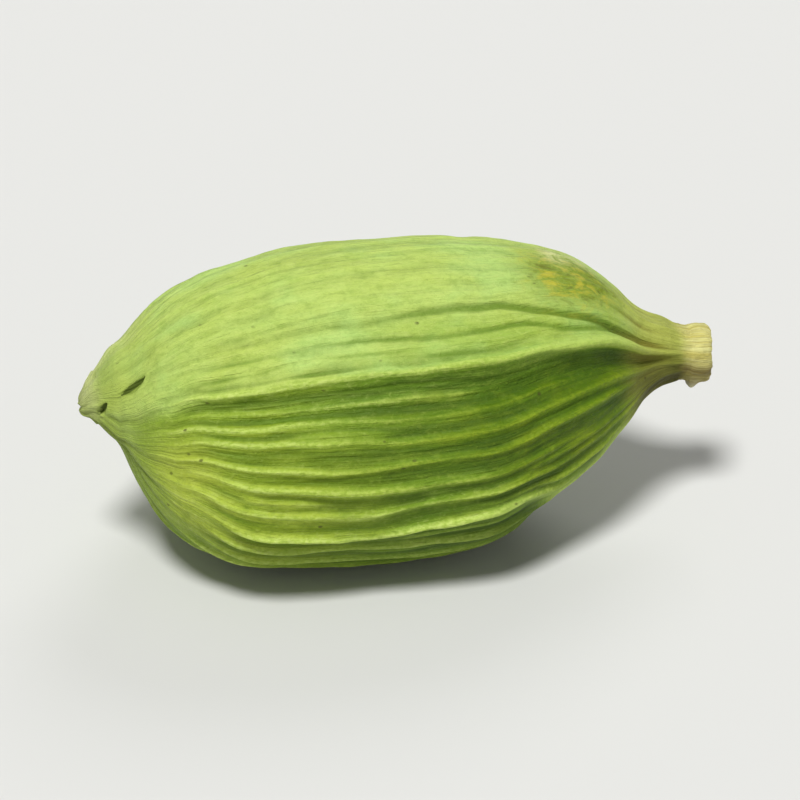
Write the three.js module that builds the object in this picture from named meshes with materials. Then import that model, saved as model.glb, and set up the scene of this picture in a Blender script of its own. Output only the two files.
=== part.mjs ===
// A whole dried green cardamom pod, lying on its side.
//
// Millimetres, +Z up. The long axis runs along X, from the blossom end (-X) to
// the stalk end (+X). The origin is on the surface the pod rests on, under the
// middle of its bounding box.
//
// The husk grew as one piece, so it is one closed mesh: a turned profile (blunt
// puckered blossom end, full body, narrow neck, ragged collar with a shallow
// hollow) whose rings are then pushed out into three lobes, ridges and ribs.

import * as THREE from 'three';
import { mergeVertices } from 'three/addons/utils/BufferGeometryUtils.js';

// ---------------------------------------------------------------- dimensions

const LENGTH = 19.4; // blossom tip to the end of the stalk collar
const BODY_RADIUS = 4.86; // mean radius of the fullest section
const NECK_RADIUS = 0.88; // at the narrowest, behind the collar
const COLLAR_RADIUS = 0.99;
const COLLAR_HOLLOW_DEPTH = 0.52;
const REST_DEPTH = 0.17; // how far the underside is flattened where it rests

const ROWS_BODY = 27; // rings of vertices along the body

// Half outline of the pod: [distance from the blossom tip, radius].
const PROFILE = [
	[ 0.2, 0.0 ], [ 0.16, 0.06 ], [ 0.05, 0.12 ], [ 0.0, 0.2 ], [ 0.05, 0.3 ],
	[ 0.2, 0.45 ], [ 0.5, 0.77 ], [ 0.87, 1.22 ], [ 1.2, 1.68 ], [ 1.54, 2.18 ],
	[ 2.0, 2.86 ], [ 2.5, 3.42 ], [ 3.05, 3.84 ], [ 3.55, 4.11 ], [ 4.22, 4.39 ],
	[ 5.0, 4.54 ], [ 6.0, 4.7 ], [ 7.07, 4.81 ], [ 8.2, BODY_RADIUS ], [ 9.3, 4.86 ],
	[ 10.3, 4.84 ], [ 11.34, 4.76 ], [ 12.4, 4.46 ], [ 13.48, 3.97 ], [ 14.4, 3.54 ],
	[ 15.2, 3.12 ], [ 15.9, 2.58 ], [ 16.5, 2.03 ], [ 17.04, 1.47 ], [ 17.5, 1.16 ],
	[ 17.95, 1.0 ], [ 18.3, NECK_RADIUS ], [ 18.46, 0.87 ], [ 18.56, 0.93 ], [ 18.7, COLLAR_RADIUS ],
	[ 18.95, 1.0 ], [ 19.2, 0.97 ], [ 19.34, 0.89 ], [ LENGTH, 0.78 ], [ 19.35, 0.64 ],
	[ 19.18, 0.51 ], [ 19.0, 0.37 ], [ LENGTH - COLLAR_HOLLOW_DEPTH, 0.18 ], [ LENGTH - COLLAR_HOLLOW_DEPTH - 0.03, 0.0 ],
];

// Height of the middle line over its own mean: both ends tip up a little.
const CENTRE_Z = [
	[ 0.0, 0.36 ], [ 0.5, 0.58 ], [ 0.9, 0.58 ], [ 1.5, 0.1 ], [ 2.2, - 0.28 ], [ 3.0, - 0.48 ],
	[ 3.8, - 0.61 ], [ 4.8, - 0.65 ], [ 6.0, - 0.59 ], [ 8.0, - 0.56 ], [ 9.6, - 0.57 ], [ 10.9, - 0.55 ],
	[ 11.8, - 0.5 ], [ 12.6, - 0.32 ], [ 13.5, - 0.05 ], [ 14.3, 0.12 ], [ 15.2, 0.24 ], [ 16.2, 0.28 ],
	[ 17.0, 0.24 ], [ 17.7, 0.26 ], [ 18.3, 0.14 ], [ 19.0, - 0.02 ], [ LENGTH, - 0.06 ],
];

// Sideways drift of the middle line; +Y is the back.
const CENTRE_Y = [
	[ 0.0, - 0.08 ], [ 3.0, 0.0 ], [ 9.0, 0.05 ], [ 14.0, 0.0 ], [ 17.0, 0.06 ], [ LENGTH, 0.16 ],
];

// Ribs, as angles round the pod: 0 is the front (-Y), 90 the top, 180 the back.
// [ crest angle, height from crest to the grooves beside it ].
const RIBS = [
	[ - 31, 0.21 ], [ - 20.8, 0.25 ], [ - 10.9, 0.22 ], [ - 1.6, 0.24 ], [ 6.4, 0.21 ],
	[ 15.4, 0.18 ], [ 23.3, 0.17 ], [ 30.3, 0.12 ], [ 39.5, 0.08 ], [ 49, 0.06 ],
	[ 67.5, 0.06 ], [ 77, 0.04 ], [ 86.5, 0.04 ], [ 96, 0.04 ], [ 106.5, 0.045 ],
	[ 117, 0.06 ], [ 128, 0.08 ], [ 138, 0.11 ], [ 148, 0.14 ], [ 158.5, 0.18 ],
	[ 168.5, 0.2 ], [ 178, 0.2 ], [ 187.5, 0.22 ], [ 197, 0.21 ], [ 206.5, 0.2 ],
	[ 216.5, 0.22 ], [ 226.5, 0.2 ], [ 236.5, 0.17 ], [ 246.5, 0.14 ], [ 256.5, 0.11 ],
	[ 266.5, 0.1 ], [ 276.5, 0.1 ], [ 287, 0.12 ], [ 297.5, 0.15 ], [ 308, 0.18 ],
	[ 318.5, 0.2 ],
];

// How far the ribs fan out from the ridge, in degrees; they draw in to it at the blossom end.
const FAN = [
	[ 0.0, - 12.0 ], [ 2.4, - 12.0 ], [ 3.2, - 10.0 ], [ 4.6, - 6.4 ], [ 5.9, - 3.4 ], [ 7.2, - 1.3 ],
	[ 9.0, 0.0 ], [ 11.5, 0.0 ], [ 13.0, 2.0 ], [ 14.5, 4.0 ], [ 16.0, 5.0 ], [ 17.2, 3.0 ], [ 18.2, 0.0 ],
	[ LENGTH, 0.0 ],
];

// How far the front ribs and the ridge curl down, in degrees: into the pucker
// under the blossom tip, and round the neck.
const GATHER = [
	[ 0.0, 50.0 ], [ 0.95, 50.0 ], [ 1.2, 35.0 ], [ 1.5, 21.0 ], [ 1.8, 12.0 ], [ 2.1, 7.0 ],
	[ 2.5, 4.5 ], [ 2.9, 1.5 ], [ 3.4, 0.0 ], [ LENGTH, 0.0 ],
];
const NECK_TURN = [ [ 0.0, 0.0 ], [ 15.6, 0.0 ], [ 16.3, 2.5 ], [ 17.2, 9.0 ], [ 18.0, 17.0 ], [ LENGTH, 17.0 ] ];

// How far the lowest front ribs sag (-) or rise (+) on the way.
const SAG = [
	[ 0.0, 0.0 ], [ 2.6, 0.0 ], [ 4.4, - 2.2 ], [ 6.2, - 2.5 ], [ 7.4, - 2.2 ], [ 8.4, - 1.4 ],
	[ 9.4, 0.2 ], [ 10.4, 1.8 ], [ 11.4, 2.8 ], [ 12.4, 2.6 ], [ 13.8, 0.0 ], [ LENGTH, 0.0 ],
];

// ------------------------------------------------------------------- helpers

const rad = THREE.MathUtils.degToRad;
const smooth = ( a, b, x ) => THREE.MathUtils.smoothstep( x, a, b );
const wrap = ( d ) => d - 360 * Math.round( d / 360 );
const bump = ( angle, centre, width ) => Math.exp( - 0.5 * ( wrap( angle - centre ) / width ) ** 2 );

// Monotone cubic through [x, y] points (Fritsch-Carlson), flat past both ends.
function monotone( points ) {

	const n = points.length, slope = [], tangent = [];
	for ( let i = 0; i < n - 1; i ++ ) slope.push( ( points[ i + 1 ][ 1 ] - points[ i ][ 1 ] ) / ( points[ i + 1 ][ 0 ] - points[ i ][ 0 ] ) );
	for ( let i = 0; i < n; i ++ ) {

		if ( i === 0 ) tangent.push( slope[ 0 ] );
		else if ( i === n - 1 ) tangent.push( slope[ n - 2 ] );
		else if ( slope[ i - 1 ] * slope[ i ] <= 0 ) tangent.push( 0 );
		else {

			const h0 = points[ i ][ 0 ] - points[ i - 1 ][ 0 ], h1 = points[ i + 1 ][ 0 ] - points[ i ][ 0 ];
			const w0 = 2 * h1 + h0, w1 = h1 + 2 * h0;
			tangent.push( ( w0 + w1 ) / ( w0 / slope[ i - 1 ] + w1 / slope[ i ] ) );

		}

	}

	return ( x ) => {

		if ( x <= points[ 0 ][ 0 ] ) return points[ 0 ][ 1 ];
		if ( x >= points[ n - 1 ][ 0 ] ) return points[ n - 1 ][ 1 ];
		let i = 0;
		while ( x > points[ i + 1 ][ 0 ] ) i ++;
		const h = points[ i + 1 ][ 0 ] - points[ i ][ 0 ], t = ( x - points[ i ][ 0 ] ) / h;
		return points[ i ][ 1 ] * ( 1 + 2 * t ) * ( 1 - t ) ** 2 + h * tangent[ i ] * t * ( 1 - t ) ** 2
			+ points[ i + 1 ][ 1 ] * t * t * ( 3 - 2 * t ) + h * tangent[ i + 1 ] * t * t * ( t - 1 );

	};

}

// ------------------------------------------------------------------ the form

// The outline as two curves over its own chord length.
const chord = [ 0 ];
for ( let i = 1; i < PROFILE.length; i ++ ) chord.push( chord[ i - 1 ] + Math.hypot( PROFILE[ i ][ 0 ] - PROFILE[ i - 1 ][ 0 ], PROFILE[ i ][ 1 ] - PROFILE[ i - 1 ][ 1 ] ) );
const along = monotone( PROFILE.map( ( p, i ) => [ chord[ i ], p[ 0 ] ] ) );
const radius = monotone( PROFILE.map( ( p, i ) => [ chord[ i ], p[ 1 ] ] ) );
const centreZ = monotone( CENTRE_Z );
const centreY = monotone( CENTRE_Y );
const fan = monotone( FAN );
const gather = monotone( GATHER );
const neckTurn = monotone( NECK_TURN );
const sag = monotone( SAG );

// The angle where the line at this angle really runs: the ribs draw together
// at both ends, and low on the front they sweep down towards the stalk.
function turn( angle, x ) {

	return angle + fan( x ) * Math.sin( rad( angle - 40 ) )
		- 18 * smooth( 12.6, 14.6, x ) * ( 1 - smooth( 16.6, 18.2, x ) ) * bump( angle, - 38, 16 )
		- gather( x ) * bump( angle, 12, 50 ) - neckTurn( x ) * bump( angle, 39.5, 30 ) + sag( x ) * bump( angle, - 17, 11 );

}

// Three lobes (top, front and back) with shallow furrows between them, the
// sharp ridge where the top lobe overhangs the front one, and a flatter top.
function section( angle, x ) {

	const body = smooth( 0.9, 3.6, x ) * ( 1 - 0.75 * smooth( 14.6, 17.6, x ) );
	const ridge = smooth( 1.6, 4.2, x ) * ( 1 - smooth( 17.3, 18.3, x ) );
	const shoulder = smooth( 10.0, 14.5, x ), throat = smooth( 12.5, 16.0, x );
	return 1
		+ body * ( 0.026 * Math.cos( rad( 3 * ( angle - 95 ) ) )
			- 0.022 * bump( angle, 82, 20 ) + 0.012 * bump( angle, 128, 15 )
			+ 0.018 * bump( angle, 163, 7 ) - 0.022 * bump( angle, 147, 10 )
			+ 0.012 * bump( angle, 222, 12 ) - 0.03 * bump( angle, 270, 22 ) )
		+ ridge * ( ( 0.045 + 0.03 * shoulder ) * bump( angle, 39.5, 4.2 )
			- ( 0.042 + 0.055 * shoulder + 0.045 * throat ) * bump( angle, 30 - 5 * throat, 5.5 + 4.5 * throat )
			+ ( 0.014 + 0.026 * throat ) * bump( angle, - 20.8, 5 ) - 0.012 * bump( angle, 58.5, 4 )
			- 0.05 * throat * bump( angle, - 52, 13 ) );

}

// Slow dents and swellings, so that no face is evenly round.
function unevenness( angle, x ) {

	const a = rad( angle );
	return smooth( 1.0, 4.0, x ) * ( 1 - smooth( 14.5, 17.5, x ) ) * ( 1 - 0.9 * bump( angle, 270, 30 ) ) * ( 1 - 0.6 * bump( angle, 90, 35 ) )
		* ( 0.05 * Math.sin( 0.55 * x + 2 * a + 0.8 ) + 0.035 * Math.sin( 0.9 * x - 3 * a + 2.1 ) + 0.02 * Math.sin( 1.7 * x + a ) );

}

// Ribs fade out at both ends and where the pod rests.
function ribs( height, side, angle, x ) {

	const ends = smooth( 0.9, 3.0, x ) * ( 1 - smooth( 15.0, 17.6, x ) );
	const rest = 1 - 0.97 * bump( angle, 270, 17 ) * smooth( 2.5, 5.5, x ) * ( 1 - smooth( 11.5, 14.5, x ) );
	return 0.5 * side * height * ends * rest;

}

// Rings: close together round the blossom end and the collar, wider on the body.
const stations = [];
const bodyFrom = chord[ 5 ], bodyTo = chord[ 30 ];
for ( let i = 0; i < 5; i ++ ) stations.push( chord[ i ] );
for ( let i = 0; i <= ROWS_BODY; i ++ ) stations.push( THREE.MathUtils.lerp( bodyFrom, bodyTo, i / ROWS_BODY ) );
for ( let i = 31; i < PROFILE.length; i ++ ) stations.push( chord[ i ] );

// Columns: one on every rib crest and one in every groove between two crests.
const columns = [];
for ( let i = 0; i < RIBS.length; i ++ ) {

	const [ angle, height ] = RIBS[ i ];
	const [ next, nextHeight ] = RIBS[ ( i + 1 ) % RIBS.length ];
	columns.push( { angle, side: 1, height } );
	columns.push( { angle: angle + 0.5 * ( ( next - angle + 720 ) % 360 ), side: - 1, height: 0.5 * ( height + nextHeight ) } );

}

// A turned body first: its profile starts and ends on the axis.
const outline = stations.map( ( s ) => new THREE.Vector2( radius( s ), along( s ) ) );
const husk = new THREE.LatheGeometry( outline, columns.length );

// Then each vertex moves to its rib's own angle, radius and middle line.
const position = husk.attributes.position;
const rows = stations.length;
for ( let c = 0; c <= columns.length; c ++ ) {

	const { angle, side, height } = columns[ c % columns.length ];
	for ( let r = 0; r < rows; r ++ ) {

		const { x: rBase, y: x } = outline[ r ];
		const turned = rad( turn( angle, x ) );
		const onAxis = r === 0 || r === rows - 1;
		const reach = onAxis ? 0 : rBase * section( angle, x )
			+ Math.min( 1, rBase / 2 ) * ( unevenness( angle, x ) + ribs( height, side, angle, x ) );
		// The collar broke off a little out of square with the neck.
		const lean = smooth( 18.2, 18.7, x ) * 0.1 * reach * Math.sin( turned - 0.6 );
		position.setXYZ( c * rows + r, x + lean, centreY( x ) - Math.cos( turned ) * reach, centreZ( x ) + Math.sin( turned ) * reach );

	}

}

// The underside is flat where the pod rests: everything lower comes up to that plane.
husk.computeBoundingBox();
const floor = husk.boundingBox.min.z + REST_DEPTH;
for ( let i = 0; i < position.count; i ++ ) position.setZ( i, Math.max( 0, position.getZ( i ) - floor ) );
husk.computeBoundingBox();
const middle = husk.boundingBox.getCenter( new THREE.Vector3() );
husk.translate( - middle.x, - middle.y, 0 );

// One closed skin with shared vertices, its faces out.
husk.deleteAttribute( 'normal' );
husk.deleteAttribute( 'uv' );
const skin = mergeVertices( husk, 1e-4 );
{

	const index = skin.index.array, kept = [];
	for ( let i = 0; i < index.length; i += 3 ) {

		const [ a, b, c ] = [ index[ i ], index[ i + 1 ], index[ i + 2 ] ];
		if ( a !== b && b !== c && c !== a ) kept.push( a, b, c );

	}

	const p = skin.attributes.position, at = ( i ) => new THREE.Vector3().fromBufferAttribute( p, i );
	let volume = 0;
	for ( let i = 0; i < kept.length; i += 3 ) volume += at( kept[ i ] ).dot( at( kept[ i + 1 ] ).cross( at( kept[ i + 2 ] ) ) );
	if ( volume < 0 ) for ( let i = 0; i < kept.length; i += 3 ) [ kept[ i + 1 ], kept[ i + 2 ] ] = [ kept[ i + 2 ], kept[ i + 1 ] ];
	skin.setIndex( kept );

}

skin.computeVertexNormals();

const pod = new THREE.Mesh( skin, new THREE.MeshStandardMaterial( { color: 0x9cb857, roughness: 0.72, metalness: 0.0 } ) );
pod.name = 'pod';

const group = new THREE.Group();
group.name = 'green_cardamom_pod';
group.add( pod );

export default group;
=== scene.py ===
import math

import bpy
import numpy as np
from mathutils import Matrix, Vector


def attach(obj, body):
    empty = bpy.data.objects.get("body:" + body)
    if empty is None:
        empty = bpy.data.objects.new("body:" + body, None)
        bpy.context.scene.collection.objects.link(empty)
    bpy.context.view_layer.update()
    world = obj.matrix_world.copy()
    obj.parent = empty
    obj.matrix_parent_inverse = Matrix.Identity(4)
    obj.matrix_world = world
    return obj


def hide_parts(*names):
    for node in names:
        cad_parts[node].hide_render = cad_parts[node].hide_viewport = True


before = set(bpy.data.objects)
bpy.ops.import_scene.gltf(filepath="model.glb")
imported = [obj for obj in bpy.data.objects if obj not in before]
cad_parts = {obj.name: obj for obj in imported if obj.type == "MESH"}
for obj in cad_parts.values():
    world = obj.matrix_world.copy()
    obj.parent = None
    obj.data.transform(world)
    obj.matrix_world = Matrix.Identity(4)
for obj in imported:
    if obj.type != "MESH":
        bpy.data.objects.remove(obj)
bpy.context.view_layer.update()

# A whole dried green cardamom pod. The fine husk below grows from the same outline, middle
# line, lobes and rib angles as the solid, in millimetres and degrees, and is written in metres.
# Angles run round the pod: 0 is the front (-Y), 90 the top, 180 the back, 270 the underside.

MM = 0.001
LENGTH = 19.4
BODY_RADIUS = 4.86
NECK_RADIUS = 0.88
COLLAR_RADIUS = 0.99
COLLAR_HOLLOW_DEPTH = 0.52
REST_DEPTH = 0.17
ROWS_BODY = 27

PROFILE = [
    (0.2, 0.0), (0.16, 0.06), (0.05, 0.12), (0.0, 0.2), (0.05, 0.3),
    (0.2, 0.45), (0.5, 0.77), (0.87, 1.22), (1.2, 1.68), (1.54, 2.18),
    (2.0, 2.86), (2.5, 3.42), (3.05, 3.84), (3.55, 4.11), (4.22, 4.39),
    (5.0, 4.54), (6.0, 4.7), (7.07, 4.81), (8.2, BODY_RADIUS), (9.3, 4.86),
    (10.3, 4.84), (11.34, 4.76), (12.4, 4.46), (13.48, 3.97), (14.4, 3.54),
    (15.2, 3.12), (15.9, 2.58), (16.5, 2.03), (17.04, 1.47), (17.5, 1.16),
    (17.95, 1.0), (18.3, NECK_RADIUS), (18.46, 0.87), (18.56, 0.93), (18.7, COLLAR_RADIUS),
    (18.95, 1.0), (19.2, 0.97), (19.34, 0.89), (LENGTH, 0.78), (19.35, 0.64),
    (19.18, 0.51), (19.0, 0.37), (LENGTH - COLLAR_HOLLOW_DEPTH, 0.18), (LENGTH - COLLAR_HOLLOW_DEPTH - 0.03, 0.0),
]
CENTRE_Z = [
    (0.0, 0.36), (0.5, 0.58), (0.9, 0.58), (1.5, 0.1), (2.2, -0.28), (3.0, -0.48),
    (3.8, -0.61), (4.8, -0.65), (6.0, -0.59), (8.0, -0.56), (9.6, -0.57), (10.9, -0.55),
    (11.8, -0.5), (12.6, -0.32), (13.5, -0.05), (14.3, 0.12), (15.2, 0.24), (16.2, 0.28),
    (17.0, 0.24), (17.7, 0.26), (18.3, 0.14), (19.0, -0.02), (LENGTH, -0.06),
]
CENTRE_Y = [(0.0, -0.08), (3.0, 0.0), (9.0, 0.05), (14.0, 0.0), (17.0, 0.06), (LENGTH, 0.16)]
RIBS = [
    (-31, 0.21), (-20.8, 0.25), (-10.9, 0.22), (-1.6, 0.24), (6.4, 0.21),
    (15.4, 0.18), (23.3, 0.17), (30.3, 0.12), (39.5, 0.08), (49, 0.06),
    (67.5, 0.06), (77, 0.04), (86.5, 0.04), (96, 0.04), (106.5, 0.045),
    (117, 0.06), (128, 0.08), (138, 0.11), (148, 0.14), (158.5, 0.18),
    (168.5, 0.2), (178, 0.2), (187.5, 0.22), (197, 0.21), (206.5, 0.2),
    (216.5, 0.22), (226.5, 0.2), (236.5, 0.17), (246.5, 0.14), (256.5, 0.11),
    (266.5, 0.1), (276.5, 0.1), (287, 0.12), (297.5, 0.15), (308, 0.18),
    (318.5, 0.2),
]
FAN = [
    (0.0, -12.0), (2.4, -12.0), (3.2, -10.0), (4.6, -6.4), (5.9, -3.4), (7.2, -1.3),
    (9.0, 0.0), (11.5, 0.0), (13.0, 2.0), (14.5, 4.0), (16.0, 5.0), (17.2, 3.0), (18.2, 0.0),
    (LENGTH, 0.0),
]
GATHER = [
    (0.0, 50.0), (0.95, 50.0), (1.2, 35.0), (1.5, 21.0), (1.8, 12.0), (2.1, 7.0),
    (2.5, 4.5), (2.9, 1.5), (3.4, 0.0), (LENGTH, 0.0),
]
NECK_TURN = [(0.0, 0.0), (15.6, 0.0), (16.3, 2.5), (17.2, 9.0), (18.0, 17.0), (LENGTH, 17.0)]
SAG = [
    (0.0, 0.0), (2.6, 0.0), (4.4, -2.2), (6.2, -2.5), (7.4, -2.2), (8.4, -1.4),
    (9.4, 0.2), (10.4, 1.8), (11.4, 2.8), (12.4, 2.6), (13.8, 0.0), (LENGTH, 0.0),
]


# ---------------------------------------------------------------- curves and noise

def smooth(a, b, x):
    t = np.clip((x - a) / (b - a), 0.0, 1.0)
    return t * t * (3.0 - 2.0 * t)


def wrap(d):
    return d - 360.0 * np.round(d / 360.0)


def bump(angle, centre, width):
    return np.exp(-0.5 * (wrap(angle - centre) / width) ** 2)


def monotone(points):
    """Monotone cubic through (x, y) points (Fritsch-Carlson), flat past both ends."""
    px, py = (np.array(v, float) for v in zip(*points))
    h = np.diff(px)
    slope = np.diff(py) / h
    tangent = np.empty(len(px))
    tangent[0], tangent[-1] = slope[0], slope[-1]
    for i in range(1, len(px) - 1):
        if slope[i - 1] * slope[i] <= 0:
            tangent[i] = 0.0
        else:
            w0, w1 = 2 * h[i] + h[i - 1], h[i] + 2 * h[i - 1]
            tangent[i] = (w0 + w1) / (w0 / slope[i - 1] + w1 / slope[i])

    def at(x):
        x = np.clip(np.asarray(x, float), px[0], px[-1])
        i = np.clip(np.searchsorted(px, x, side="left") - 1, 0, len(h) - 1)
        t = (x - px[i]) / h[i]
        return (py[i] * (1 + 2 * t) * (1 - t) ** 2 + h[i] * tangent[i] * t * (1 - t) ** 2
                + py[i + 1] * t * t * (3 - 2 * t) + h[i] * tangent[i + 1] * t * t * (t - 1))

    return at


def lattice(angle, x, around, step, seed):
    """Smooth noise in -1..1 that closes round the pod: around cells per turn, one cell each step mm along."""
    rng = np.random.default_rng(seed)
    rows = int(math.ceil(24.0 / step)) + 4
    grid = rng.uniform(-1, 1, (rows, around))
    a = (np.asarray(angle, float) / 360.0 * around) % around
    b = np.clip((np.asarray(x, float) + 1.5) / step, 0, rows - 2.001)
    a, b = np.broadcast_arrays(a, b)
    ia, ib = np.floor(a).astype(int), np.floor(b).astype(int)
    fa, fb = a - ia, b - ib
    fa, fb = fa * fa * (3 - 2 * fa), fb * fb * (3 - 2 * fb)
    ia, ja = ia % around, (ia + 1) % around
    return ((grid[ib, ia] * (1 - fa) + grid[ib, ja] * fa) * (1 - fb)
            + (grid[ib + 1, ia] * (1 - fa) + grid[ib + 1, ja] * fa) * fb)


# ---------------------------------------------------------------- the form, as the solid has it

_p = np.array(PROFILE)
CHORD = np.concatenate([[0.0], np.cumsum(np.hypot(*np.diff(_p, axis=0).T))])
along = monotone(list(zip(CHORD, _p[:, 0])))
radius = monotone(list(zip(CHORD, _p[:, 1])))
centre_z = monotone(CENTRE_Z)
centre_y = monotone(CENTRE_Y)
fan = monotone(FAN)
gather = monotone(GATHER)
neck_turn = monotone(NECK_TURN)
sag = monotone(SAG)


def turn(angle, x):
    """The angle where the line at this angle really runs."""
    return (angle + fan(x) * np.sin(np.radians(angle - 40))
            - 18 * smooth(12.6, 14.6, x) * (1 - smooth(16.6, 18.2, x)) * bump(angle, -38, 16)
            - gather(x) * bump(angle, 12, 50) - neck_turn(x) * bump(angle, 39.5, 30) + sag(x) * bump(angle, -17, 11))


def section(angle, x):
    body = smooth(0.9, 3.6, x) * (1 - 0.75 * smooth(14.6, 17.6, x))
    ridge = smooth(1.6, 4.2, x) * (1 - smooth(17.3, 18.3, x))
    shoulder, throat = smooth(10.0, 14.5, x), smooth(12.5, 16.0, x)
    return (1
            + body * (0.026 * np.cos(np.radians(3 * (angle - 95)))
                      - 0.022 * bump(angle, 82, 20) + 0.012 * bump(angle, 128, 15)
                      + 0.018 * bump(angle, 163, 7) - 0.022 * bump(angle, 147, 10)
                      + 0.012 * bump(angle, 222, 12) - 0.03 * bump(angle, 270, 22))
            + ridge * ((0.045 + 0.03 * shoulder) * bump(angle, 39.5, 4.2)
                       - (0.042 + 0.055 * shoulder + 0.045 * throat) * bump(angle, 30 - 5 * throat, 5.5 + 4.5 * throat)
                       + (0.014 + 0.026 * throat) * bump(angle, -20.8, 5) - 0.012 * bump(angle, 58.5, 4)
                       - 0.05 * throat * bump(angle, -52, 13)))


def unevenness(angle, x):
    a = np.radians(angle)
    return (smooth(1.0, 4.0, x) * (1 - smooth(14.5, 17.5, x)) * (1 - 0.9 * bump(angle, 270, 30)) * (1 - 0.6 * bump(angle, 90, 35))
            * (0.05 * np.sin(0.55 * x + 2 * a + 0.8) + 0.035 * np.sin(0.9 * x - 3 * a + 2.1) + 0.02 * np.sin(1.7 * x + a)))


def place(angle, x, reach):
    """The point at this reach from the middle line, in mm, before the pod is set down."""
    turned = np.radians(turn(angle, x))
    lean = smooth(18.2, 18.7, x) * 0.1 * reach * np.sin(turned - 0.6)
    return np.stack(np.broadcast_arrays(x + lean, centre_y(x) - np.cos(turned) * reach, centre_z(x) + np.sin(turned) * reach), -1)


def set_down():
    """(shift in x, shift in y, height of the floor), found on the solid's own rings as the solid finds them."""
    s = np.concatenate([CHORD[:5], CHORD[5] + (CHORD[30] - CHORD[5]) * np.arange(ROWS_BODY + 1) / ROWS_BODY, CHORD[31:]])
    ang, side, high = [], [], []
    for i, (a, h) in enumerate(RIBS):
        b, g = RIBS[(i + 1) % len(RIBS)]
        ang += [a, a + 0.5 * ((b - a + 720) % 360)]
        side += [1, -1]
        high += [h, 0.5 * (h + g)]
    ang, side, high = (np.array(v, float)[None, :] for v in (ang, side, high))
    x, r = along(s)[:, None], radius(s)[:, None]
    ends = smooth(0.9, 3.0, x) * (1 - smooth(15.0, 17.6, x))
    rest = 1 - 0.97 * bump(ang, 270, 17) * smooth(2.5, 5.5, x) * (1 - smooth(11.5, 14.5, x))
    reach = r * section(ang, x) + np.minimum(1, r / 2) * (unevenness(ang, x) + 0.5 * side * high * ends * rest)
    reach[[0, -1]] = 0
    p = place(ang, x, reach).reshape(-1, 3)
    floor = p[:, 2].min() + REST_DEPTH
    return (p[:, 0].min() + p[:, 0].max()) / 2, (p[:, 1].min() + p[:, 1].max()) / 2, floor


MID_X, MID_Y, FLOOR_Z = set_down()


# ---------------------------------------------------------------- the fine husk

COLUMNS = 520
theta = np.arange(COLUMNS) * 360.0 / COLUMNS


def curve(points):
    """A smooth curve through (x, value) points, as monotone() makes it."""
    return monotone(points)


def fibre_line(path, width, x, r, angle, power=1.6):
    """1 on a line that runs along the pod at angle path(x), falling to 0 over width mm to either side."""
    away = np.abs(np.radians(wrap(angle - path))) * r
    return np.exp(-(np.sqrt(away ** 2 + 0.0012) / width) ** power)


def blur(field, columns, rows):
    """A wide soft average: round the pod by columns, along it by rows."""
    f = np.fft.rfft(field, axis=1)
    k = np.arange(f.shape[1])
    f = np.fft.irfft(f * np.exp(-2 * (np.pi * k * columns / field.shape[1]) ** 2), n=field.shape[1], axis=1)
    w = np.exp(-0.5 * (np.arange(-3 * rows, 3 * rows + 1) / max(rows, 1e-6)) ** 2)
    w /= w.sum()
    pad = np.pad(f, ((3 * rows, 3 * rows), (0, 0)), mode="edge")
    return sum(w[i] * pad[i:i + len(f)] for i in range(len(w)))


def spaced_stations():
    """Places along the outline: close together where the form is small, wider on the body."""
    s = np.linspace(0, CHORD[-1], 6000)
    x = along(s)
    outer_front, outer_back = CHORD[3], CHORD[38]
    gap = np.where(s < outer_front, 0.05, 0.0)
    body = monotone([(0.0, 0.055), (0.9, 0.06), (1.7, 0.1), (3.0, 0.14), (15.0, 0.145), (16.4, 0.12), (17.2, 0.065), (18.2, 0.06), (18.5, 0.042), (19.4, 0.042)])(x)
    gap = np.where(s < outer_front, 0.05, np.where(s > outer_back, 0.05, body))
    count = np.concatenate([[0], np.cumsum(np.diff(s) / (0.5 * (gap[1:] + gap[:-1])))])
    total = int(round(count[-1]))
    return np.interp(np.linspace(0, count[-1], total + 1), count, s)


stations = spaced_stations()
stations = stations[1:-1]
X = along(stations)
R = radius(stations)
XX, RR, TT = X[:, None], R[:, None], theta[None, :]

rib_ends = smooth(0.9, 3.0, XX) * (1 - smooth(15.6, 17.8, XX))
rest_fade = 1 - 0.97 * bump(TT, 270, 17) * smooth(2.5, 5.5, XX) * (1 - smooth(11.5, 14.5, XX))
size = np.minimum(1.0, RR / 2)

reach = RR * section(TT, XX) + size * unevenness(TT, XX)
# The front lobe tucks in under the blossom tip.
reach = reach - 0.34 * bump(TT, -48, 40) * np.exp(-((XX - 1.28) / 0.26) ** 2)
base = place(TT, XX, reach)


def normals(p, s):
    """Outward unit normals of a grid of points, rows along the pod and columns round it."""
    dt = np.roll(p, -1, 1) - np.roll(p, 1, 1)
    ds = np.gradient(p, axis=0)
    n = np.cross(ds, dt)
    n /= np.maximum(np.linalg.norm(n, axis=2, keepdims=True), 1e-12)
    out = p - np.stack([p[..., 0], np.broadcast_to(centre_y(X)[:, None], p.shape[:2]), np.broadcast_to(centre_z(X)[:, None], p.shape[:2])], -1)
    mid = len(X) // 2
    return n * np.sign(np.sum(n[mid] * out[mid]))


N = normals(base, stations)

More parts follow.
